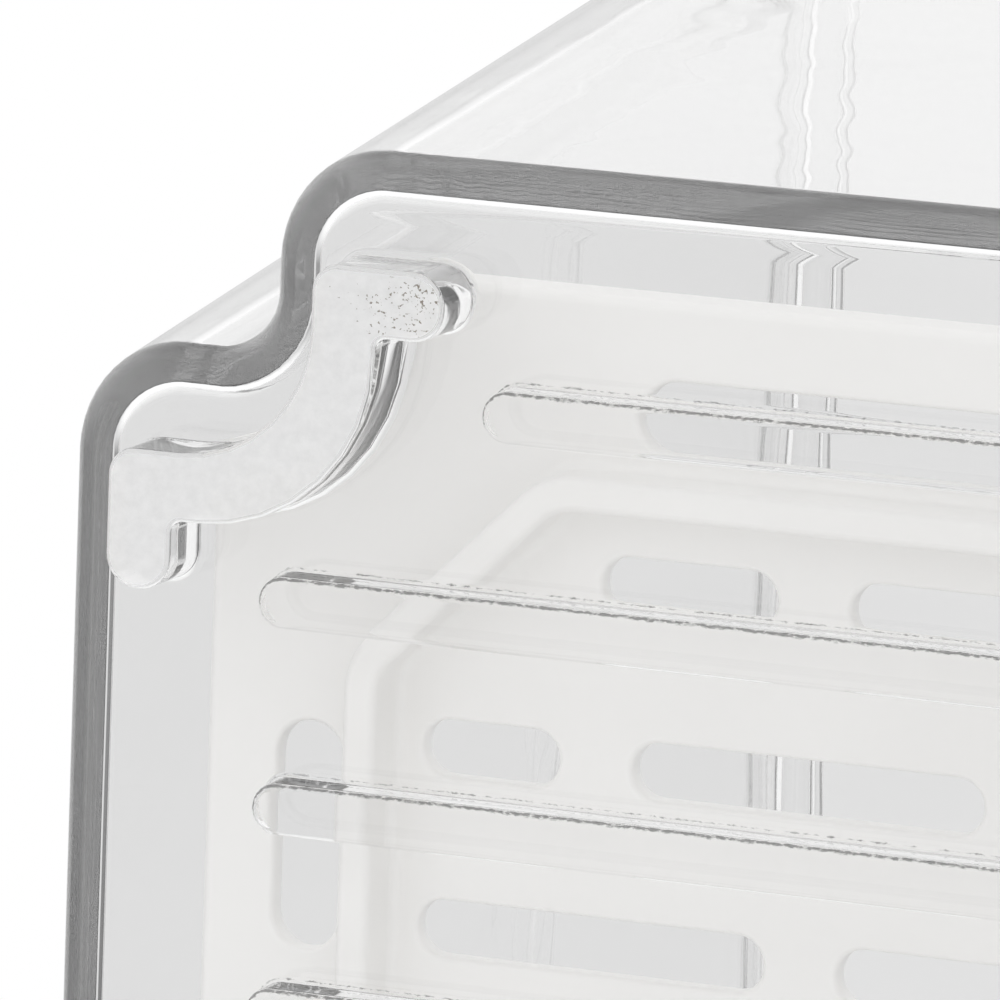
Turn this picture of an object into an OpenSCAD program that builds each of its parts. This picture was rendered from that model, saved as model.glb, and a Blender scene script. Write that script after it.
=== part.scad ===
// Clear stackable storage box with notched corners, a loose drain tray inside and a
// drop-on lid. The box stands on four S-shaped feet and its underside carries long ribs.
// The frame: X along the box, Y across it, Z up, origin under the middle of the feet.

/* [Base] */
// Length of the base, between the two end walls where they meet the underside
base_l = 291; // [281:1:296]
// Width of the base, measured the same way
base_w = 148; // [146:1:150]
// Depth of the square notch taken out of each corner
notch = 16.3; // [15.8:0.1:17]
// Radius of the two outward corners beside a notch
corner_r = 8.5; // [8:0.1:9]
// Radius of the inward corner of a notch
notch_r = 5.2; // [4.5:0.1:5.6]
// Radius of the rounded edge between underside and walls
edge_r = 5; // [4:0.1:6]

/* [Walls] */
// Height of the box from its underside to its rim, without the feet
box_h = 198; // [150:1:210]
// Outward lean of the walls, sideways per unit of height
draft = 0.085; // [0.07:0.005:0.09]
// Thickness of the walls
wall = 3.4; // [2.8:0.1:3.8]
// Thickness of the floor
floor_t = 3; // [2.6:0.1:3.4]
// Radius inside, between floor and walls
inner_r = 1.2; // [0.8:0.1:2]
// How far the rim stands out from the wall
lip_out = 2.2; // [1.5:0.1:3]
// Height of the rim's outward lip
lip_h = 3.6; // [3:0.1:6]

/* [Feet] */
// Height of the feet
foot_h = 6; // [5:0.1:7]
// Width of a foot across its S
foot_w = 5.3; // [4.8:0.1:5.4]
// Distance from the end wall to the foot
foot_in_x = 6.4; // [6:0.1:7]
// Distance from the side wall to the foot
foot_in_y = 7.1; // [6.8:0.1:7.2]
// Distance from the walls' corner to the end of each arm
foot_reach = 33.5; // [31:0.5:37]

/* [Ribs] */
// Number of ribs under the floor
rib_n = 8; // [6:1:8]
// Spacing of the ribs
rib_pitch = 16; // [15:0.1:16.2]
// Width of a rib
rib_w = 4.1; // [3.5:0.1:5]
// Height of a rib
rib_h = 3.1; // [2.5:0.1:4]
// Distance from the end wall to a rib
rib_in = 17.8; // [16:0.1:20]
// The same for the first and last rib, which end short of the feet
rib_in_short = 35.6; // [35:0.1:45]

/* [Drain tray] */
// Gap between the base outline and the tray's edge
tray_in = 9.6; // [9:0.1:11]
// Radius of the tray's outward corners
tray_corner_r = 3.5; // [2:0.1:5]
// Thickness of the tray's plate
plate_t = 2; // [1.6:0.1:2.4]
// Height of the tray's plate above the floor it stands on
plate_up = 4.8; // [4:0.1:6]
// Height of the tray's upturned edge above the underside of the plate
edge_up = 5; // [4:0.1:7]
// Thickness of the upturned edge
edge_t = 1.6; // [1.2:0.1:2]
// Distance from the base outline to the standing ring under the tray
ring_in = 22.9; // [22.5:0.1:24]
// Thickness of the standing ring
ring_t = 2.7; // [2:0.1:3.2]
// Length of the slanted corners of the ring, measured along one side
ring_cut = 15.8; // [12:0.1:17]
// Distance from the base outline to the slots outside the ring
band_slot_in = 15.7; // [15.5:0.1:16]
// Width of the slots outside the ring
band_slot_w = 5.4; // [4:0.1:5.6]
// Distance from the corner of the base outline to the first slot outside the ring
band_slot_from = 44.9; // [42:0.1:46]
// Length of the slots along the short sides
end_slot_l = 17.9; // [12:0.1:20]
// Number of slots along each long side
side_slot_n = 4; // [2:1:6]
// Number of rows of slots inside the ring
row_n = 7; // [5:2:7]
// Spacing of the rows
row_pitch = 14.1; // [13:0.1:14.2]
// Width of the slots inside the ring
slot_w = 4.4; // [3.5:0.1:5]
// Gap between slots in one row
slot_gap = 6; // [5:0.1:8]
// Number of full slots in a row
slot_n = 7; // [6:1:8]
// Distance from the end wall to the first slot
slot_in = 27.8; // [27.2:0.1:29]

/* [Lid] */
// Thickness of the lid
lid_t = 2.4; // [2:0.1:3]
// Depth of the stacking recess in the lid
recess = 5; // [4:0.1:6]
// Height of the raised frame that a stacked box's feet stand round
stop_h = 2.6; // [2:0.1:3]
// Width of the raised frame
stop_w = 2; // [1.6:0.1:2.4]
// Distance from the base outline to the raised frame
stop_in = 16.3; // [14:0.1:18]
// Length of the raised frame's slanted corners, measured along one side
stop_cut = 17; // [16:0.5:20]

/* [Clearances] */
// Side clearance between the lid and the box
lid_gap = 0.5; // [0.3:0.1:0.8]
// Height at which the tray and the lid hover over what they rest on
rest_gap = 0.2; // [0.1:0.05:0.3]

/* [Hidden] */
arc_n = 7;                                   // pieces in an outward or inward corner
edge_n = 5;                                  // pieces in the rounded bottom edge
step_n = 3;                                  // pieces in a small rounding
round_n = 40;                                // pieces in the full circle at the end of a rib or slot
least_r = 0.8;                               // smallest corner radius of an inset outline
open_rate = 0.3;                             // growth of the outward corners' radius as the walls lean out
close_rate = 0.2;                            // shrinking of the notch's radius as the walls lean out
straight = 0.4;                              // straight piece left between two corners of a notch
bury = 0.6;                                  // how far ribs and feet run into the floor
base_z = foot_h;                             // underside of the floor
floor_z = base_z + floor_t;                  // inside of the floor
rim_z = base_z + box_h;                      // top of the rim
lean = atan(draft);
rim_a = -draft * box_h;                      // the wall's outline at the rim
foot_knee_r = 2.1;                           // corners of a foot beside the notch
foot_notch_r = 10.5;                         // hollow of a foot round the notch
foot_back_r = 14.2;                          // back of a foot, on the side away from the notch
foot_root_r = 0.9;                           // where a foot's arms start from its back
foot_tip_flat = 0.1;                         // half the flat left on an arm's round end
ring_r = 6;                                  // corners of the standing ring, outside
ring_in_r = 3.6;                             // corners of the standing ring, inside
stop_r = 7;                                  // corners of the lid's raised frame, outside
tray_z = floor_z + rest_gap;                 // foot of the standing ring
plate_z = tray_z + plate_up;                 // underside of the tray's plate
lid_z = rim_z + rest_gap;                    // underside of the lid on the rim

// ---- outlines: a is the inset from the base outline, negative when it lies outside ----

// Points of a round corner of radius r between the directions p1-p0 and p1-p2
function fillet(p0, p1, p2, r, n) =
    let(u = (p0 - p1) / norm(p0 - p1), v = (p2 - p1) / norm(p2 - p1),
        half = acos(u * v) / 2,
        c = p1 + (u + v) / norm(u + v) * r / sin(half),
        s = p1 + u * r / tan(half) - c,
        turn = sign(u[1] * v[0] - u[0] * v[1]) * (180 - 2 * half))
    [for (i = [0:n]) let(t = turn * i / n)
        c + [s[0] * cos(t) - s[1] * sin(t), s[0] * sin(t) + s[1] * cos(t)]];

// A closed outline with every corner rounded; v holds [x, y, radius]
function rounded(v, n = arc_n) =
    let(k = len(v))
    [for (i = [0:k - 1])
        let(p = v[(i + k - 1) % k], q = v[i], s = v[(i + 1) % k])
        for (w = fillet([p[0], p[1]], [q[0], q[1]], [s[0], s[1]], q[2], n)) w];

// Outward corners open up and inward ones close a little as the walls lean out, but
// never so far that the two meet
function shut_r(a, least) = max(notch_r + close_rate * a, least);
function out_r(a, least) =
    a < 0 ? min(corner_r - open_rate * a, notch - straight - shut_r(a, least))
          : max(corner_r - a, least);
function in_r(a, least) =
    a < 0 ? shut_r(a, least) : min(notch_r + a, notch - out_r(a, least) - straight);

// The base outline inset by a, anticlockwise, with a notch at each corner
function outline(a, least = least_r) =
    let(x = base_l / 2 - a, y = base_w / 2 - a, o = out_r(a, least), i = in_r(a, least),
        q = [[x, y - notch, o], [x - notch, y - notch, i], [x - notch, y, o]])
    rounded([
        for (j = [0:2]) q[j],
        for (j = [2:-1:0]) [-q[j][0], q[j][1], q[j][2]],
        for (j = [0:2]) [-q[j][0], -q[j][1], q[j][2]],
        for (j = [2:-1:0]) [q[j][0], -q[j][1], q[j][2]]]);

// Outline of the standing ring: a rectangle with slanted, rounded corners
function ring_outline(a, cut, r) =
    let(x = base_l / 2 - a, y = base_w / 2 - a)
    rounded([[x, y - cut, r], [x - cut, y, r], [-x + cut, y, r], [-x, y - cut, r],
             [-x, -y + cut, r], [-x + cut, -y, r], [x - cut, -y, r], [x, -y + cut, r]], 4);

// A closed solid through outlines stacked as [inset, height]. The first and last are
// closed by triangles that meet in the middle.
module loft(rings) {
    n = len(outline(0));
    k = len(rings);
    mid = k * n;
    pts = concat(
        [for (g = rings) for (p = outline(g[0])) [p[0], p[1], g[1]]],
        [[0, 0, rings[0][1]], [0, 0, rings[k - 1][1]]]);
    walls = [for (i = [0:k - 2]) for (j = [0:n - 1])
        let(a = i * n + j, b = i * n + (j + 1) % n)
        for (f = [[a, b + n, b], [a, a + n, b + n]]) f];
    first = [for (j = [0:n - 1]) [mid, j, (j + 1) % n]];
    last = [for (j = [0:n - 1]) [mid + 1, (k - 1) * n + (j + 1) % n, (k - 1) * n + j]];
    polyhedron(points = pts, faces = concat(walls, first, last));
}

// A quarter round from angle t0 to t1 about [a, z], as [inset, height] rings
function bend(a, z, r, t0, t1, n = step_n) =
    [for (i = [0:n]) let(t = t0 + (t1 - t0) * i / n) [a + r * cos(t), z + r * sin(t)]];

// ---- box ----

// The leaning wall's outline at height z above the underside
function wall_a(z) = -draft * z;

module box_shell() {
    out_c = edge_r * (sqrt(1 + draft * draft) - draft);
    in_a = wall / cos(lean);
    in_c = in_a + wall_a(floor_t) + inner_r * (sqrt(1 + draft * draft) - draft);
    lip_a = rim_a - lip_out;
    soft = 0.8;
    loft(concat(
        bend(out_c, base_z + edge_r, edge_r, 270, 180 + lean, edge_n),
        [[wall_a(box_h - lip_h), rim_z - lip_h]],
        bend(lip_a + soft, rim_z - lip_h + soft, soft, 270, 180),
        bend(lip_a + soft, rim_z - soft, soft, 180, 90),
        bend(rim_a + in_a - soft, rim_z - soft, soft, 90, 0),
        bend(in_c, floor_z + inner_r, inner_r, 180 + lean, 270)));
}

module stadium(l, w) {
    square([l - w, w], center = true);
    for (s = [-1, 1]) translate([s * (l - w) / 2, 0]) circle(d = w, $fn = round_n);
}

module rib(i) {
    inset = i == 0 || i == rib_n - 1 ? rib_in_short : rib_in;
    translate([0, (i - (rib_n - 1) / 2) * rib_pitch, base_z - rib_h])
        linear_extrude(rib_h + bury) stadium(base_l - 2 * inset, rib_w);
}

// One S-shaped foot, beside the notch in the +X +Y corner
module foot() {
    hx = base_l / 2;
    hy = base_w / 2;
    ox = foot_in_x;
    oy = foot_in_y;
    ix = ox + foot_w;
    iy = oy + foot_w;
    tip_r = foot_w / 2 - foot_tip_flat;
    linear_extrude(foot_h + bury) polygon(rounded([
        [hx - ox, hy - foot_reach, tip_r],
        [hx - ox, hy - notch - ox, foot_knee_r],
        [hx - notch - ox, hy - notch - ox, foot_notch_r],
        [hx - notch - ox, hy - oy, foot_knee_r],
        [hx - foot_reach, hy - oy, tip_r],
        [hx - foot_reach, hy - iy, tip_r],
        [hx - notch - ix, hy - iy, foot_root_r],
        [hx - notch - ix, hy - notch - ix, foot_back_r],
        [hx - ix, hy - notch - ix, foot_root_r],
        [hx - ix, hy - foot_reach, tip_r]]));
}

module box() color([0.86, 0.9, 0.92, 0.45]) {
    box_shell();
    for (i = [0:rib_n - 1]) rib(i);
    for (mx = [0, 1], my = [0, 1]) mirror([mx, 0, 0]) mirror([0, my, 0]) foot();
}

// ---- drain tray ----

module tray_outline(a) {
    polygon(outline(a, tray_corner_r));
}

// One row of slots; odd rows are shifted by half a slot and end in short slots
module slot_row(i) {
    x0 = -base_l / 2 + slot_in;
    span = -2 * x0;
    full = (span + slot_gap) / slot_n - slot_gap;
    half = (full - slot_gap) / 2;
    shifted = i % 2 == 1;
    clipped = i == 0 || i == row_n - 1;
    y = (i - (row_n - 1) / 2) * row_pitch;
    for (k = [0:slot_n - (shifted ? 2 : 1)]) {
        at_end = k == 0 || k == slot_n - 1;
        short = clipped && at_end ? full / 2 : 0;
        side = k == 0 ? 1 : -1;
        mid = x0 + (shifted ? half + slot_gap : 0) + k * (full + slot_gap) + full / 2;
        translate([mid + side * short / 2, y]) stadium(full - short, slot_w);
    }
    if (shifted) for (s = [-1, 1]) translate([s * (-x0 - half / 2), y]) stadium(half, slot_w);
}

module band_slots() {
    span = base_l - 2 * band_slot_from;
    side_l = (span + slot_gap) / side_slot_n - slot_gap;
    off = band_slot_in + band_slot_w / 2;
    for (s = [-1, 1]) {
        for (k = [0:side_slot_n - 1])
            translate([-span / 2 + side_l / 2 + k * (side_l + slot_gap), s * (base_w / 2 - off)])
                stadium(side_l, band_slot_w);
        for (e = [-1, 1])
            translate([s * (base_l / 2 - off), e * (base_w / 2 - band_slot_from - end_slot_l / 2)])
                rotate(90) stadium(end_slot_l, band_slot_w);
    }
}

module drain_tray() color([0.95, 0.95, 0.94]) {
    translate([0, 0, plate_z]) linear_extrude(plate_t) difference() {
        tray_outline(tray_in);
        for (i = [0:row_n - 1]) slot_row(i);
        band_slots();
    }
    translate([0, 0, plate_z]) linear_extrude(edge_up) difference() {
        tray_outline(tray_in);
        tray_outline(tray_in + edge_t);
    }
    translate([0, 0, tray_z]) linear_extrude(plate_up + plate_t / 2) difference() {
        polygon(ring_outline(ring_in, ring_cut, ring_r));
        polygon(ring_outline(ring_in + ring_t, ring_cut - ring_t * (2 - sqrt(2)), ring_in_r));
    }
}

// ---- lid ----

module lid_shell(low_z) {
    soft = 0.9;
    top_z = lid_z + lid_t;
    edge_a = rim_a - lip_out;
    plug_a = rim_a + wall / cos(lean) + lid_gap;
    loft(concat(
        bend(plug_a + 2 * soft, low_z + 2 * soft, 2 * soft, 270, 180),
        [[plug_a, lid_z]],
        bend(edge_a + soft, lid_z + soft, soft, 270, 180),
        bend(edge_a + soft, top_z - soft, soft, 180, 90),
        bend(plug_a + lid_t - soft, top_z - soft, soft, 90, 0),
        bend(plug_a + lid_t + soft, low_z + lid_t + soft, soft, 180, 270)));
}

module lid() color([0.86, 0.9, 0.92, 0.45]) {
    low_z = lid_z - recess;
    lid_shell(low_z);
    translate([0, 0, low_z + lid_t - bury]) linear_extrude(stop_h + bury) difference() {
        polygon(ring_outline(stop_in, stop_cut, stop_r));
        polygon(ring_outline(stop_in + stop_w, stop_cut - stop_w * (2 - sqrt(2)), stop_r - stop_w));
    }
}

box();
drain_tray();
lid();
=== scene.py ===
"""Looks of the clear storage box with its drain tray and lid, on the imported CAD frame."""

import math

import bmesh
import bpy
import numpy as np
from mathutils import Matrix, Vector
from mathutils.geometry import tessellate_polygon


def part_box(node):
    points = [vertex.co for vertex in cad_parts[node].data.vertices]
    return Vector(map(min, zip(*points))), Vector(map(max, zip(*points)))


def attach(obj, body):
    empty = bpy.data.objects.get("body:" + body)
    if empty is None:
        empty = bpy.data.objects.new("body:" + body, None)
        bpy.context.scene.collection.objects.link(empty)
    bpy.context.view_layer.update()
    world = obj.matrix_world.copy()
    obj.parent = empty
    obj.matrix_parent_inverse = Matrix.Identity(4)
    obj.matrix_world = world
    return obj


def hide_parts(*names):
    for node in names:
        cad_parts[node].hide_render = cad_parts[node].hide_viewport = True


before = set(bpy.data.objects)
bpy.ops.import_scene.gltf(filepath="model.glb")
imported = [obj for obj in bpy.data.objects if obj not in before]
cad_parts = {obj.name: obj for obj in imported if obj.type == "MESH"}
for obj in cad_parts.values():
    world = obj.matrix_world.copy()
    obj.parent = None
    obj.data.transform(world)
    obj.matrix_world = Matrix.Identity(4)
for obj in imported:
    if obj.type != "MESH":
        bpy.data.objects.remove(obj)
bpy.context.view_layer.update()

# ---- shared sizes in millimetres: the part's numbers, with its extents read off the frame ----
MM = 0.001
BOX_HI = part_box("box")[1]
TRAY_LO, TRAY_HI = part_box("drain_tray")
LID_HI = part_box("lid")[1]

DRAFT = 0.085  # how far a wall leans out for each unit of height
LEAN = math.atan(DRAFT)
LEAN_DEG = math.degrees(LEAN)
STRETCH = math.sqrt(1 + DRAFT * DRAFT) - DRAFT  # inset of a round at a wall's foot, per radius
BASE_Z = 6.0
FLOOR_T = 3.0
FLOOR_Z = BASE_Z + FLOOR_T
RIM_Z = BOX_HI[2] / MM
BOX_H = RIM_Z - BASE_Z
RIM_A = -DRAFT * BOX_H  # an inset is measured from the base outline, and below zero it is outside
LIP_OUT = 2.2
LIP_H = 3.6
BASE_L = 2 * (BOX_HI[0] / MM + RIM_A - LIP_OUT)
BASE_W = 2 * (BOX_HI[1] / MM + RIM_A - LIP_OUT)
NOTCH = 16.3
CORNER_R = 8.5
NOTCH_R = 5.2
OPEN_RATE = 0.3
CLOSE_RATE = 0.2
STRAIGHT = 0.4
LEAST_R = 0.8
EDGE_R = 5.0
WALL = 3.4
INNER_R = 1.2

# steps in a round: a notched outline's corner, a soft edge, the box's outer edge, the corners
# of small outlines, and a slot's or rib's end
ARC_N = 12
BEND_N = 6
EDGE_N = 14
FINE_N = 8
CAP_N = 16


# ---- outlines and lofts ----
def rounded(corners, n):
    """Closed outline with every corner [x, y, radius] rounded: its points and outward normals."""
    c = np.array(corners, float)
    k = len(c)
    points, normals = [], []
    for i in range(k):
        here, r = c[i, :2], c[i, 2]
        u = c[i - 1, :2] - here
        v = c[(i + 1) % k, :2] - here
        u /= np.linalg.norm(u)
        v /= np.linalg.norm(v)
        half = math.acos(max(-1.0, min(1.0, float(u @ v)))) / 2
        centre = here + (u + v) / np.linalg.norm(u + v) * r / math.sin(half)
        s = here + u * r / math.tan(half) - centre
        side = math.copysign(1.0, u[1] * v[0] - u[0] * v[1])
        for j in range(n + 1):
            t = side * (math.pi - 2 * half) * j / n
            cos, sin = math.cos(t), math.sin(t)
            w = np.array([s[0] * cos - s[1] * sin, s[0] * sin + s[1] * cos])
            points.append(centre + w)
            normals.append(side * w / r)
    return np.array(points), np.array(normals)


def shut_r(a, least):
    """Radius of a notch's inner corner outside the base outline, where it closes up."""
    return max(NOTCH_R + CLOSE_RATE * a, least)


def out_r(a, least):
    """Radius of the outward corners. They open up as the walls lean out, but stay clear of the
    notch's own corner."""
    if a < 0:
        return min(CORNER_R - OPEN_RATE * a, NOTCH - STRAIGHT - shut_r(a, least))
    return max(CORNER_R - a, least)


def in_r(a, least):
    """Radius of a notch's inner corner at any inset."""
    return shut_r(a, least) if a < 0 else min(NOTCH_R + a, NOTCH - out_r(a, least) - STRAIGHT)


def notched(x, y, outer, inner):
    """A rectangle of half sizes x and y with a rounded notch at each corner."""
    q = [(x, y - NOTCH, outer), (x - NOTCH, y - NOTCH, inner), (x - NOTCH, y, outer)]
    ring = list(q)
    ring += [(-p[0], p[1], p[2]) for p in reversed(q)]
    ring += [(-p[0], -p[1], p[2]) for p in q]
    ring += [(p[0], -p[1], p[2]) for p in reversed(q)]
    return rounded(ring, ARC_N)


def box_outline(a):
    """Outline of the box or lid at inset a."""
    return notched(BASE_L / 2 - a, BASE_W / 2 - a, out_r(a, LEAST_R), in_r(a, LEAST_R))


def bend(a, z, r, t0, t1, hollow=False, n=BEND_N):
    """Round about [a, z] from t0 to t1 degrees, as rows of inset, height and outward normal."""
    side = -1.0 if hollow else 1.0
    rows = []
    for i in range(n + 1):
        t = math.radians(t0 + (t1 - t0) * i / n)
        cos, sin = math.cos(t), math.sin(t)
        rows.append((a + r * cos, z + r * sin, side * cos, side * sin))
    return rows


class Shape:
    """A closed mesh put together from rings of points, with a normal and two marks at each."""

    # painted shade and roughness on a side by its outward normal: most on the sides that face -X
    # and -Y
    WEAR_MEAN, WEAR_X, WEAR_Y = 0.7, 0.25, 0.35

    def __init__(self):
        self.points, self.normals, self.faces, self.marks = [], [], [], []

    def ring(self, outline, row, mark):
        """One ring of points at a row's height. Gives their indices."""
        (pts, nrm), (_, z, na, nz) = outline, row
        frost, edge_shade_and_rough = mark
        first = len(self.points)
        for p, m in zip(pts, nrm):
            self.points.append((p[0] * MM, p[1] * MM, z * MM))
            self.normals.append((-m[0] * na, -m[1] * na, nz))
            # painted shade: the edge mark grows on the sides that face -X and -Y
            facing = self.WEAR_MEAN - self.WEAR_X * m[0] - self.WEAR_Y * m[1]
            self.marks.append((frost, edge_shade_and_rough * facing))
        return list(range(first, len(self.points)))

    def loft(self, outline, rows, marks=None):
        """Rings at each row's inset and height, joined by quads. Gives the first and last ring.
        A mark is how frosted the surface is along that ring, and how much painted shade and
        roughness it gets."""
        marks = marks or [(0.0, 0.0)] * len(rows)
        rings = [self.ring(outline(row[0]), row, mark) for row, mark in zip(rows, marks)]
        for lower, upper in zip(rings, rings[1:]):
            for j in range(len(lower)):
                k = (j + 1) % len(lower)
                self.faces.append((lower[j], lower[k], upper[k], upper[j]))
        return rings[0], rings[-1]

    def fill(self, loops):
        """A flat face inside the first loop and outside the others."""
        flat = [i for loop in loops for i in loop]
        shapes = []
        for loop in loops:
            shapes.append([(self.points[i][0] / MM, self.points[i][1] / MM, 0.0) for i in loop])
        for tri in tessellate_polygon(shapes):
            self.faces.append(tuple(flat[i] for i in tri))

    def build(self, name, material):
        """The Blender object, with its faces turned outward and its marks as attributes."""
        mesh = bpy.data.meshes.new(name)
        mesh.from_pydata(self.points, [], self.faces)
        mesh.materials.append(material)
        bm = bmesh.new()
        bm.from_mesh(mesh)
        bmesh.ops.recalc_face_normals(bm, faces=bm.faces)
        bm.to_mesh(mesh)
        bm.free()
        mesh.polygons.foreach_set("use_smooth", [True] * len(mesh.polygons))
        unit = np.array(self.normals)
        unit /= np.linalg.norm(unit, axis=1)[:, None]
        mesh.normals_split_custom_set_from_vertices(unit.tolist())
        for i, layer in enumerate(("frost", "edge_shade_and_rough")):
            values = mesh.attributes.new(layer, "FLOAT", "POINT")
            values.data.foreach_set("value", [mark[i] for mark in self.marks])
        mesh.update()
        obj = bpy.data.objects.new(name, mesh)
        bpy.context.scene.collection.objects.link(obj)
        return obj


def stadium(x, y, length, width, upright=False):
    """Outline function of a slot or rib with round ends about [x, y]."""

    def at(a):
        r = width / 2 - a
        t = np.linspace(-math.pi / 2, math.pi / 2, CAP_N + 1)
        cap = np.stack([np.cos(t), np.sin(t)], 1)
        shift = np.array([(length - width) / 2, 0.0])
        pts = np.concatenate([cap * r + shift, -cap * r - shift])
        nrm = np.concatenate([cap, -cap])
        if upright:
            pts = np.stack([-pts[:, 1], pts[:, 0]], 1)
            nrm = np.stack([-nrm[:, 1], nrm[:, 0]], 1)
        return pts + np.array([x, y]), nrm

    return at


def slanted(inset, cut, r, shrink):
    """Outline function of a rectangle with slanted, rounded corners; a = 0 is its outer face."""

    def at(a):
        x = BASE_L / 2 - inset - a
        y = BASE_W / 2 - inset - a
        c = cut - a * (2 - math.sqrt(2))
        q = r - shrink * a
        return rounded([
            (x, y - c, q), (x - c, y, q), (-x + c, y, q), (-x, y - c, q),
            (-x, -y + c, q), (-x + c, -y, q), (x - c, -y, q), (x, -y + c, q),
        ], FINE_N)

    return at


# ---- the box: shell, feet and ribs as one moulding ----
RIM_R = 0.8
LIP_TURN = 0.7

RIB_N = 8
RIB_PITCH = 16.0
RIB_W = 4.1
RIB_H = 3.1
RIB_IN = 17.8
RIB_IN_SHORT = 35.6
RIB_ROOT_R = 0.5
RIB_EDGE_R = 0.6
# how much painted shade and roughness each ring of a rib gets, from its root down its side to its
# flat face
RIB_SHADE_AND_ROUGH = (0, 0.4, 0.75, 0.4, 0, 0, 0, 0, 0.3, 0.9, 1, 0.6, 0.2, 0)

FOOT_W = 5.3
FOOT_IN_X = 6.4
FOOT_IN_Y = 7.1
FOOT_REACH = 33.5
FOOT_TIP_R = FOOT_W / 2 - 0.1
FOOT_SHOULDER_R = 2.1
FOOT_ARMPIT_R = 0.9
FOOT_HOLLOW_R = 10.5
FOOT_BULGE_R = 14.2
FOOT_LEAST_R = 0.25
FOOT_ROOT_R = 0.6
FOOT_EDGE_R = 0.35


def foot_outline(sx, sy):
    """Outline function of the S-shaped foot in the corner of signs sx and sy."""
    hx, hy = BASE_L / 2, BASE_W / 2
    ox, oy = FOOT_IN_X, FOOT_IN_Y
    ix, iy = ox + FOOT_W, oy + FOOT_W
    base = np.array([
        (hx - ox, hy - FOOT_REACH, FOOT_TIP_R),
        (hx - ox, hy - NOTCH - ox, FOOT_SHOULDER_R),
        (hx - NOTCH - ox, hy - NOTCH - ox, FOOT_HOLLOW_R),
        (hx - NOTCH - ox, hy - oy, FOOT_SHOULDER_R),
        (hx - FOOT_REACH, hy - oy, FOOT_TIP_R),
        (hx - FOOT_REACH, hy - iy, FOOT_TIP_R),
        (hx - NOTCH - ix, hy - iy, FOOT_ARMPIT_R),
        (hx - NOTCH - ix, hy - NOTCH - ix, FOOT_BULGE_R),
        (hx - ix, hy - NOTCH - ix, FOOT_ARMPIT_R),
        (hx - ix, hy - FOOT_REACH, FOOT_TIP_R),
    ])

    def at(a):
        moved = []
        k = len(base)
        for i in range(k):
            along = base[i, :2] - base[i - 1, :2]
            ahead = base[(i + 1) % k, :2] - base[i, :2]
            along /= np.linalg.norm(along)
            ahead /= np.linalg.norm(ahead)
            n1 = np.array([along[1], -along[0]])
            n2 = np.array([ahead[1], -ahead[0]])
            outward = along[0] * ahead[1] - along[1] * ahead[0] > 0
            p = base[i, :2] - a * (n1 + n2)
            r = base[i, 2] - a if outward else base[i, 2] + a
            moved.append((p[0], p[1], max(r, FOOT_LEAST_R)))
        pts, nrm = rounded(moved, FINE_N)
        flip = np.array([sx, sy])
        return pts * flip, nrm * flip

    return at


def stand_out(shape, outline, depth, root, edge, foot):
    """A moulded rib or foot below the floor. Gives the loop where its root meets the floor.
    Only a foot's flat face is frosted, and only a rib's rounds get painted shade and roughness."""
    low = BASE_Z - depth
    rows = bend(-root, BASE_Z - root, root, 90, 0, hollow=True)
    rows += bend(edge, low + edge, edge, 180, 270)
    if foot:
        marks = [(0.0, 0.0)] * (len(rows) - 1) + [(1.0, 0.0)]
    else:
        marks = [(0.0, w) for w in RIB_SHADE_AND_ROUGH]
    first, last = shape.loft(outline, rows, marks)
    shape.fill([last])
    return first


def make_box(plastic):
    """The shell as one loft from the underside over the rim to the floor, with ribs and feet."""
    s = Shape()
    in_a = WALL / math.cos(LEAN)
    floor_a = in_a - DRAFT * FLOOR_T + INNER_R * STRETCH
    lip_a = RIM_A - LIP_OUT
    lip_z = RIM_Z - LIP_H
    wall_top = -DRAFT * (lip_z - LIP_TURN - BASE_Z)
    rows = bend(EDGE_R * STRETCH, BASE_Z + EDGE_R, EDGE_R, 270, 180 + LEAN_DEG, n=EDGE_N)
    rows += bend(wall_top - LIP_TURN, lip_z - LIP_TURN, LIP_TURN, 0, 90, hollow=True)
    rows += bend(lip_a + RIM_R, lip_z + RIM_R, RIM_R, 270, 180)
    rows += bend(lip_a + RIM_R, RIM_Z - RIM_R, RIM_R, 180, 90)
    rows += bend(RIM_A + in_a - RIM_R, RIM_Z - RIM_R, RIM_R, 90, 0)
    rows += bend(floor_a, FLOOR_Z + INNER_R, INNER_R, 180 + LEAN_DEG, 270, hollow=True, n=FINE_N)
    under, inside = s.loft(box_outline, rows)
    s.fill([inside])
    holes = []
    for i in range(RIB_N):
        inset = RIB_IN_SHORT if i in (0, RIB_N - 1) else RIB_IN
        y = (i - (RIB_N - 1) / 2) * RIB_PITCH
        rib = stadium(0, y, BASE_L - 2 * inset, RIB_W)
        holes.append(stand_out(s, rib, RIB_H, RIB_ROOT_R, RIB_EDGE_R, False))
    for sx in (-1, 1):
        for sy in (-1, 1):
            foot = foot_outline(sx, sy)
            holes.append(stand_out(s, foot, BASE_Z, FOOT_ROOT_R, FOOT_EDGE_R, True))
    s.fill([under, *holes])
    return s.build("box_shell", plastic)


# ---- the drain tray ----
TRAY_IN = 9.6
TRAY_R = 3.5
TRAY_LEAST_R = 0.8
TRAY_NOTCH_R = 12.4
TRAY_STRAIGHT = 0.3
TRAY_FOOT_R = 0.9
PLATE_T = 2.0
EDGE_UP = 5.0
EDGE_T = 1.6
BRIM_R = EDGE_T / 2 - 0.05
PLATE_NOOK_R = 0.7
PLATE_Z = TRAY_HI[2] / MM - EDGE_UP
TRAY_Z = TRAY_LO[2] / MM

RING_IN = 22.9
RING_T = 2.7
RING_CUT = 15.8
RING_R = 6.0
RING_SHRINK = 0.89
RING_ROOT_R = 0.9
RING_EDGE_R = 0.7

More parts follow.
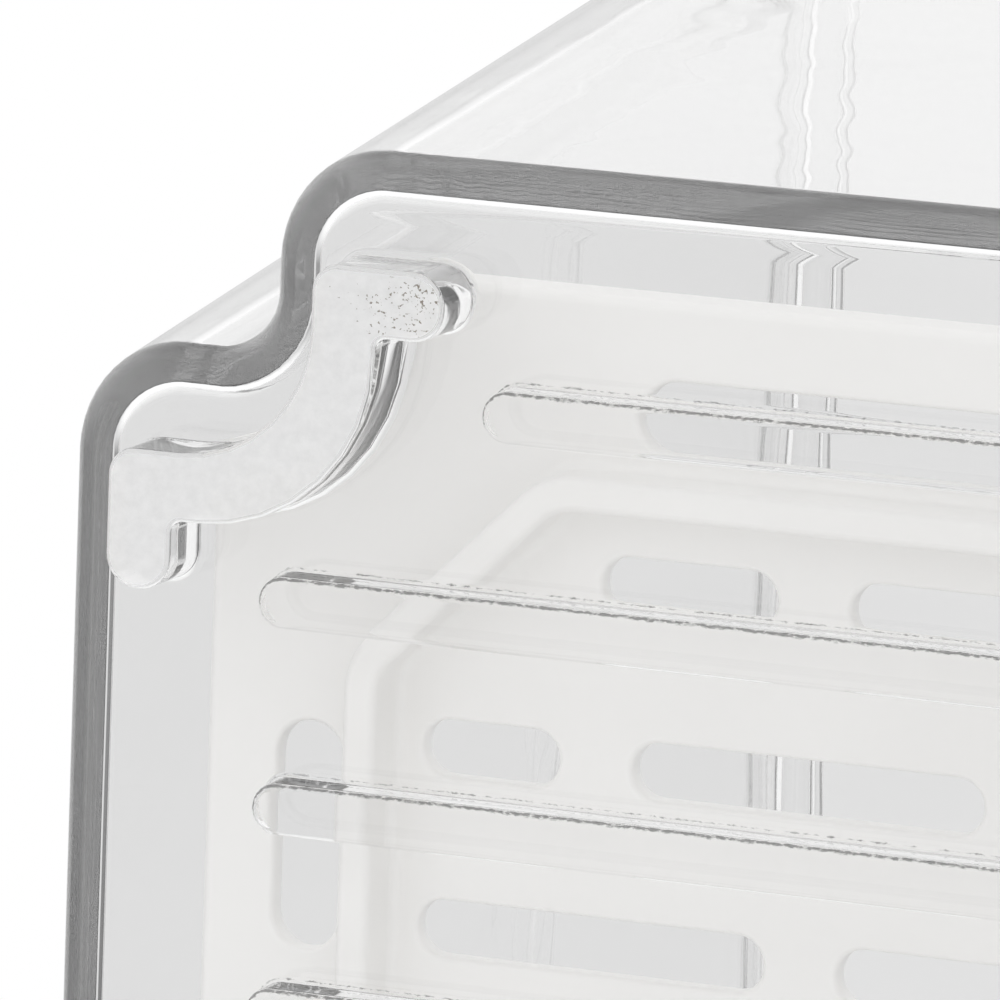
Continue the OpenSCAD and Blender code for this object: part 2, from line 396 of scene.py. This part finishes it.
ROW_N = 7
ROW_PITCH = 14.1
SLOT_W = 4.4
SLOT_GAP = 6.0
SLOT_N = 7
SLOT_IN = 27.8
SLOT_LIP_R = 0.45
SLOT_LIP_N = 4

BAND_IN = 15.7
BAND_W = 5.4
BAND_FROM = 44.9
END_SLOT_L = 17.9
SIDE_SLOT_N = 4


def tray_outline(a):
    """Outline of the tray at inset a from the base outline."""
    outer = max(TRAY_R - (a - TRAY_IN), TRAY_LEAST_R)
    inner = min(TRAY_NOTCH_R + (a - TRAY_IN), NOTCH - outer - TRAY_STRAIGHT)
    return notched(BASE_L / 2 - a, BASE_W / 2 - a, outer, inner)


def row_slots():
    """Outlines of the slots inside the standing ring, in rows that are staggered like bricks.
    The corner slots of the outer rows are cut short, clear of the ring's slanted corners."""
    x0 = -BASE_L / 2 + SLOT_IN
    full = (-2 * x0 + SLOT_GAP) / SLOT_N - SLOT_GAP
    half = (full - SLOT_GAP) / 2
    slots = []
    for i in range(ROW_N):
        y = (i - (ROW_N - 1) / 2) * ROW_PITCH
        shifted = i % 2 == 1
        for k in range(SLOT_N - 1 if shifted else SLOT_N):
            cut = full / 2 if i in (0, ROW_N - 1) and k in (0, SLOT_N - 1) else 0
            side = 1 if k == 0 else -1
            mid = x0 + (half + SLOT_GAP if shifted else 0) + k * (full + SLOT_GAP) + full / 2
            slots.append(stadium(mid + side * cut / 2, y, full - cut, SLOT_W))
        if shifted:
            slots += [stadium(s * (-x0 - half / 2), y, half, SLOT_W) for s in (-1, 1)]
    return slots


def band_slots():
    """Outlines of the slots between the standing ring and the tray's edge."""
    span = BASE_L - 2 * BAND_FROM
    side_l = (span + SLOT_GAP) / SIDE_SLOT_N - SLOT_GAP
    off = BAND_IN + BAND_W / 2
    slots = []
    for s in (-1, 1):
        for k in range(SIDE_SLOT_N):
            x = -span / 2 + side_l / 2 + k * (side_l + SLOT_GAP)
            slots.append(stadium(x, s * (BASE_W / 2 - off), side_l, BAND_W))
        for e in (-1, 1):
            y = e * (BASE_W / 2 - BAND_FROM - END_SLOT_L / 2)
            slots.append(stadium(s * (BASE_L / 2 - off), y, END_SLOT_L, BAND_W, upright=True))
    return slots


def make_tray(white):
    """The plate with its upturned edge, the ring it stands on, and its slots."""
    s = Shape()
    top = PLATE_Z + PLATE_T
    brim = PLATE_Z + EDGE_UP
    inner_a = TRAY_IN + EDGE_T
    rows = bend(TRAY_IN + TRAY_FOOT_R, PLATE_Z + TRAY_FOOT_R, TRAY_FOOT_R, 270, 180)
    rows += bend(TRAY_IN + BRIM_R, brim - BRIM_R, BRIM_R, 180, 90)
    rows += bend(inner_a - BRIM_R, brim - BRIM_R, BRIM_R, 90, 0)
    rows += bend(inner_a + PLATE_NOOK_R, top + PLATE_NOOK_R, PLATE_NOOK_R, 180, 270, hollow=True)
    under, over = s.loft(tray_outline, rows)
    root = RING_ROOT_R
    edge = RING_EDGE_R
    rows = bend(-root, PLATE_Z - root, root, 90, 0, hollow=True)
    rows += bend(edge, TRAY_Z + edge, edge, 180, 270)
    rows += bend(RING_T - edge, TRAY_Z + edge, edge, 270, 360)
    rows += bend(RING_T + root, PLATE_Z - root, root, 180, 90, hollow=True)
    ring_out, ring_in = s.loft(slanted(RING_IN, RING_CUT, RING_R, shrink=RING_SHRINK), rows)
    lip = SLOT_LIP_R
    rows = bend(-lip, PLATE_Z + lip, lip, 270, 360, n=SLOT_LIP_N)
    rows += bend(-lip, top - lip, lip, 0, 90, n=SLOT_LIP_N)
    band = [s.loft(o, rows) for o in band_slots()]
    inner = [s.loft(o, rows) for o in row_slots()]
    s.fill([under, ring_out, *[b[0] for b in band]])
    s.fill([ring_in, *[b[0] for b in inner]])
    s.fill([over, *[b[1] for b in band + inner]])
    return s.build("tray_moulding", white)


# ---- the lid ----
LID_T = 2.4
RECESS = 5.0
LID_GAP = 0.5
LID_EDGE_R = 0.9
LID_TURN = 0.6
LID_TOP = LID_HI[2] / MM
LID_Z = LID_TOP - LID_T

STOP_H = 2.6
STOP_W = 2.0
STOP_IN = 16.3
STOP_CUT = 17.0
STOP_R = 7.0
STOP_ROOT_R = 0.6
STOP_EDGE_R = 0.5


def make_lid(clear):
    """The lid as one loft from under its plug over its edge into the recess, with the frame
    that locates the feet of a box stacked on it."""
    s = Shape()
    soft = LID_EDGE_R
    low = LID_Z - RECESS
    floor = low + LID_T
    rim = RIM_A - LIP_OUT
    plug = RIM_A + WALL / math.cos(LEAN) + LID_GAP
    rows = bend(plug + 2 * soft, low + 2 * soft, 2 * soft, 270, 180)
    rows += bend(plug - LID_TURN, LID_Z - LID_TURN, LID_TURN, 0, 90, hollow=True)
    rows += bend(rim + soft, LID_Z + soft, soft, 270, 180)
    rows += bend(rim + soft, LID_TOP - soft, soft, 180, 90)
    rows += bend(plug + LID_T - soft, LID_TOP - soft, soft, 90, 0)
    rows += bend(plug + LID_T + soft, floor + soft, soft, 180, 270, hollow=True)
    under, over = s.loft(box_outline, rows)
    root = STOP_ROOT_R
    edge = STOP_EDGE_R
    top = floor + STOP_H
    rows = bend(-root, floor + root, root, 270, 360, hollow=True)
    rows += bend(edge, top - edge, edge, 180, 90)
    rows += bend(STOP_W - edge, top - edge, edge, 90, 0)
    rows += bend(STOP_W + root, floor + root, root, 180, 270, hollow=True)
    outer, inner = s.loft(slanted(STOP_IN, STOP_CUT, STOP_R, shrink=1.0), rows)
    s.fill([under])
    s.fill([over, outer])
    s.fill([inner])
    return s.build("lid_moulding", clear)


# ---- node helpers ----
def node(tree, kind, **inputs):
    """A new node with some of its inputs set."""
    n = tree.nodes.new(kind)
    for key, value in inputs.items():
        n.inputs[key.replace("_", " ")].default_value = value
    return n


def new_material(name):
    """A node material: itself, its tree, its shader and its output."""
    m = bpy.data.materials.new(name)
    m.use_nodes = True
    nodes = m.node_tree.nodes
    return m, m.node_tree, nodes["Principled BSDF"], nodes["Material Output"]


def chain(tree, kind, operation, *values):
    """A math or vector math node fed with sockets or plain values. Gives its result."""
    n = tree.nodes.new(kind)
    n.operation = operation
    for socket, value in zip(n.inputs, values):
        if isinstance(value, bpy.types.NodeSocket):
            tree.links.new(value, socket)
        else:
            socket.default_value = value
    return n.outputs["Value"] if operation == "DISTANCE" else n.outputs[0]


def math_node(tree, operation, *values):
    """A math node's result."""
    return chain(tree, "ShaderNodeMath", operation, *values)


def spread(tree, value, source, target):
    """A value mapped from one range to another, and held at its ends."""
    n = node(
        tree, "ShaderNodeMapRange",
        From_Min=source[0], From_Max=source[1], To_Min=target[0], To_Max=target[1],
    )
    tree.links.new(value, n.inputs["Value"])
    return n.outputs["Result"]


def blend_colour(tree, factor, first, second):
    """A mix of two colours, each a socket or a plain colour."""
    n = tree.nodes.new("ShaderNodeMix")
    n.data_type = "RGBA"
    tree.links.new(factor, n.inputs[0])
    for socket, value in ((n.inputs[6], first), (n.inputs[7], second)):
        if isinstance(value, tuple):
            socket.default_value = value
        else:
            tree.links.new(value, socket)
    return n.outputs[2]


def noise(tree, coord, scale, detail, rough):
    """A noise texture's height, scale counted per metre."""
    n = node(tree, "ShaderNodeTexNoise", Scale=scale, Detail=detail, Roughness=rough)
    tree.links.new(coord, n.inputs["Vector"])
    return n.outputs["Fac"]


def attribute(tree, name):
    """A mesh attribute's value."""
    n = node(tree, "ShaderNodeAttribute")
    n.attribute_name = name
    return n.outputs["Fac"]


def bumped(tree, bsdf, *layers):
    """Bump layers of height, strength and distance, one on another."""
    below = None
    for height, strength, distance in layers:
        n = node(tree, "ShaderNodeBump", Distance=distance)
        if isinstance(strength, float):
            n.inputs["Strength"].default_value = strength
        else:
            tree.links.new(strength, n.inputs["Strength"])
        tree.links.new(height, n.inputs["Height"])
        if below:
            tree.links.new(below, n.inputs["Normal"])
        below = n.outputs["Normal"]
    tree.links.new(below, bsdf.inputs["Normal"])


# ---- materials ----
ABSORB = 5.6  # grey loss inside the plastic, per metre
WAVES = (0.25, 0.0004)  # strength and depth of the slow moulding waves
SCUFF_STRENGTH, SCUFF_DEPTH = 0.3, 0.00006
GRAIN = (0.15, 0.00005)
GRIT_AT = (-0.11425, -0.06485, 0.0)  # on the arm's end of the foot that the photo shows
GRIT_NEAR, GRIT_FAR = 0.001, 0.0075
BLACK = (0.0, 0.0, 0.0, 1)
WHITE = (1.0, 1.0, 1.0, 1)
# painted shade: the dark grey of the line along the ribs' rounds
RIB_EDGE_SHADE = (0.12, 0.12, 0.12, 1)
GRIT_BROWN = (0.16, 0.13, 0.1, 1)
TRAY_WARM = (0.85, 0.843, 0.83, 1)
TRAY_LIGHT = (0.88, 0.874, 0.862, 1)


def clear_plastic(name, marked):
    """Clear plastic with slow moulding waves. On the box its foot faces are frosted and scuffed,
    with grit at the end of one arm, and its ribs' edges are rough from the mould and carry a
    ragged dark line of painted shade, darkest on the sides that face -X and -Y. The box has
    one material for all of it, because a closed mesh with a volume inside needs that."""
    m, tree, bsdf, out = new_material(name)
    link = tree.links.new
    bsdf.inputs["Roughness"].default_value = 0.0
    bsdf.inputs["IOR"].default_value = 1.5
    bsdf.inputs["Transmission Weight"].default_value = 1.0
    volume = node(tree, "ShaderNodeVolumeAbsorption", Density=ABSORB)
    volume.inputs["Color"].default_value = BLACK
    link(volume.outputs["Volume"], out.inputs["Volume"])
    coord = node(tree, "ShaderNodeTexCoord").outputs["Object"]
    waves = noise(tree, coord, scale=38.0, detail=2.0, rough=0.5)
    clean = spread(tree, waves, (0.3, 0.7), (0.98, 0.99))
    if not marked:
        link(clean, bsdf.inputs["Base Color"])
        bumped(tree, bsdf, (waves, *WAVES))
        return m

    frost = attribute(tree, "frost")
    # how much painted shade and roughness a rib's round gets
    edge_shade_and_rough = attribute(tree, "edge_shade_and_rough")
    scuff = noise(tree, coord, scale=900.0, detail=4.0, rough=0.7)
    patch = noise(tree, coord, scale=150.0, detail=2.0, rough=0.5)
    fine = noise(tree, coord, scale=2600.0, detail=3.0, rough=0.6)
    # grit: specks of the fine noise below a level that rises near one point
    away = chain(tree, "ShaderNodeVectorMath", "DISTANCE", coord, GRIT_AT)
    near = spread(tree, away, (GRIT_NEAR, GRIT_FAR), (0.46, 0.2))
    level = math_node(tree, "ADD", near, spread(tree, patch, (0.42, 0.6), (-0.05, 0.04)))
    grit = math_node(tree, "MULTIPLY", math_node(tree, "LESS_THAN", fine, level), frost)
    # ribs: a ragged dark line of painted shade along the rounds, drawn out along x; the same mask
    # makes them rougher
    stretch = chain(tree, "ShaderNodeVectorMath", "MULTIPLY", coord, (0.5, 1.0, 1.0))
    jagged = noise(tree, stretch, scale=3600.0, detail=3.0, rough=0.6)
    ragged = math_node(tree, "ADD", edge_shade_and_rough, spread(tree, jagged, (0.3, 0.7), (-0.4, 0.25)))
    rough = spread(tree, ragged, (0.55, 0.9), (0.0, 1.0))
    tone = spread(tree, scuff, (0.35, 0.65), (0.8, 0.88))
    colour = blend_colour(tree, frost, clean, tone)
    # painted shade: the rib rounds turn dark grey where the mask is high
    colour = blend_colour(tree, rough, colour, RIB_EDGE_SHADE)
    link(blend_colour(tree, grit, colour, GRIT_BROWN), bsdf.inputs["Base Color"])
    haze = math_node(tree, "MULTIPLY", frost, spread(tree, patch, (0.3, 0.7), (0.3, 0.37)))
    blur = math_node(tree, "ADD", haze, math_node(tree, "MULTIPLY", rough, 0.2))
    link(blur, bsdf.inputs["Roughness"])
    link(spread(tree, frost, (0.0, 1.0), (1.0, 0.5)), bsdf.inputs["Transmission Weight"])
    scuffed = math_node(tree, "MULTIPLY", frost, SCUFF_STRENGTH)
    bumped(tree, bsdf, (waves, *WAVES), (scuff, scuffed, SCUFF_DEPTH))
    return m


def white_plastic(name):
    """Satin white plastic, with a faint cloud in its colour and a fine moulded grain."""
    m, tree, bsdf, _ = new_material(name)
    bsdf.inputs["Roughness"].default_value = 0.42
    bsdf.inputs["IOR"].default_value = 1.49
    coord = node(tree, "ShaderNodeTexCoord").outputs["Object"]
    cloud = noise(tree, coord, scale=22.0, detail=3.0, rough=0.55)
    grain = noise(tree, coord, scale=1400.0, detail=2.0, rough=0.5)
    shade = spread(tree, cloud, (0.3, 0.7), (0.0, 1.0))
    tree.links.new(blend_colour(tree, shade, TRAY_WARM, TRAY_LIGHT), bsdf.inputs["Base Color"])
    bumped(tree, bsdf, (grain, *GRAIN))
    return m


# ---- the pieces ----
marked = clear_plastic("box_plastic", True)
clear = clear_plastic("clear_plastic", False)
white = white_plastic("white_plastic")

box = make_box(marked)
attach(box, "box")
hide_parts("box")

tray = make_tray(white)
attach(tray, "drain_tray")
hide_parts("drain_tray")

lid = make_lid(clear)
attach(lid, "lid")
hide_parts("lid")

# ---- stage: floor, studio, camera ----
STAGE_HALF = 3.0
FLOOR_DROP = 0.0004
FLOOR_GREY = (0.86, 0.86, 0.86, 1)
FLOOR_ROUGH = 0.8
FLOOR_LIFT = 0.22

LOW = 1.04
HIGH = 0.76
RAMP = ((0.36, LOW), (0.46, 0.0), (0.66, 0.0), (0.76, HIGH))
SIDE_FROM, SIDE_TO, SIDE_LEVEL = 0.4, -0.3, 1.1

LENS = 429.2
SENSOR = 36.0
CLIP_START, CLIP_END = 0.01, 20.0
CAM_RIGHT = (0.9239, -0.0355, 0.3810)
CAM_UP = (-0.0989, -0.9840, 0.1483)
CAM_BACK = (0.3697, -0.1747, -0.9126)
CAM_PLACE = (0.22378, -0.20661, -0.81622)

# light guided along a wall is reflected inside it more than 60 times on its way to the rim
WALL_BOUNCES = 100
ALL_BOUNCES = 110
DIFFUSE_BOUNCES = 6
AIR_BOUNCES = 12


def make_floor():
    """A pale floor that only the camera sees, and only from above: the photo looks up from
    below the object, where there is no floor in view."""
    h = STAGE_HALF
    mesh = bpy.data.meshes.new("floor")
    mesh.from_pydata([(-h, -h, 0), (h, -h, 0), (h, h, 0), (-h, h, 0)], [], [(0, 1, 2, 3)])
    obj = bpy.data.objects.new("floor", mesh)
    obj.location = (0, 0, -FLOOR_DROP)
    bpy.context.scene.collection.objects.link(obj)
    m, tree, bsdf, out = new_material("floor_paint")
    bsdf.inputs["Base Color"].default_value = FLOOR_GREY
    bsdf.inputs["Roughness"].default_value = FLOOR_ROUGH
    bsdf.inputs["Emission Color"].default_value = WHITE
    bsdf.inputs["Emission Strength"].default_value = FLOOR_LIFT
    geometry = node(tree, "ShaderNodeNewGeometry")
    path = node(tree, "ShaderNodeLightPath")
    keep = node(tree, "ShaderNodeMath")
    keep.operation = "SUBTRACT"
    keep.use_clamp = True
    air = node(tree, "ShaderNodeBsdfTransparent")
    mix = node(tree, "ShaderNodeMixShader")
    tree.links.new(path.outputs["Is Camera Ray"], keep.inputs[0])
    tree.links.new(geometry.outputs["Backfacing"], keep.inputs[1])
    tree.links.new(keep.outputs["Value"], mix.inputs["Fac"])
    tree.links.new(air.outputs["BSDF"], mix.inputs[1])
    tree.links.new(bsdf.outputs["BSDF"], mix.inputs[2])
    tree.links.new(mix.outputs["Shader"], out.inputs["Surface"])
    mesh.materials.append(m)


def make_world():
    """White studio light from below, from above and from the side at -Y, with a dark band
    between them. The camera itself sees plain white."""
    world = bpy.data.worlds.new("studio")
    bpy.context.scene.world = world
    world.use_nodes = True
    tree = world.node_tree
    link = tree.links.new
    back = tree.nodes["Background"]
    coord = node(tree, "ShaderNodeTexCoord")
    parts = node(tree, "ShaderNodeSeparateXYZ")
    link(coord.outputs["Generated"], parts.inputs["Vector"])
    height = node(tree, "ShaderNodeValToRGB")
    ramp = height.color_ramp
    ramp.interpolation = "EASE"
    ramp.elements[0].color = (LOW, LOW, LOW, 1)
    ramp.elements[1].color = (HIGH, HIGH, HIGH, 1)
    for at, level in RAMP:
        ramp.elements.new(at).color = (level, level, level, 1)
    up = node(tree, "ShaderNodeMapRange", From_Min=-1.0, From_Max=1.0)
    link(parts.outputs["Z"], up.inputs["Value"])
    link(up.outputs["Result"], height.inputs["Fac"])
    side = node(
        tree, "ShaderNodeMapRange",
        From_Min=SIDE_FROM, From_Max=SIDE_TO, To_Min=0.0, To_Max=SIDE_LEVEL,
    )
    side.interpolation_type = "SMOOTHSTEP"
    link(parts.outputs["Y"], side.inputs["Value"])
    mix = math_node(tree, "MAXIMUM", height.outputs["Color"], side.outputs["Result"])
    path = node(tree, "ShaderNodeLightPath")
    direct = math_node(tree, "MAXIMUM", path.outputs["Is Camera Ray"], mix)
    link(direct, back.inputs["Strength"])
    back.inputs["Color"].default_value = WHITE


def make_camera():
    """The camera that was fitted to the photo, a long lens looking up at the corner."""
    data = bpy.data.cameras.new("camera")
    data.sensor_width = SENSOR
    data.lens = LENS
    data.clip_start = CLIP_START
    data.clip_end = CLIP_END
    cam = bpy.data.objects.new("camera", data)
    columns = (CAM_RIGHT, CAM_UP, CAM_BACK, CAM_PLACE)
    cam.matrix_world = Matrix([[c[i] for c in columns] for i in range(3)] + [[0, 0, 0, 1]])
    bpy.context.scene.collection.objects.link(cam)
    bpy.context.scene.camera = cam


make_floor()
make_world()
make_camera()
scene = bpy.context.scene
scene.view_settings.view_transform = "Standard"
scene.cycles.max_bounces = ALL_BOUNCES
scene.cycles.diffuse_bounces = DIFFUSE_BOUNCES
scene.cycles.glossy_bounces = WALL_BOUNCES
scene.cycles.transmission_bounces = WALL_BOUNCES
scene.cycles.transparent_max_bounces = AIR_BOUNCES
scene.cycles.blur_glossy = 0.0
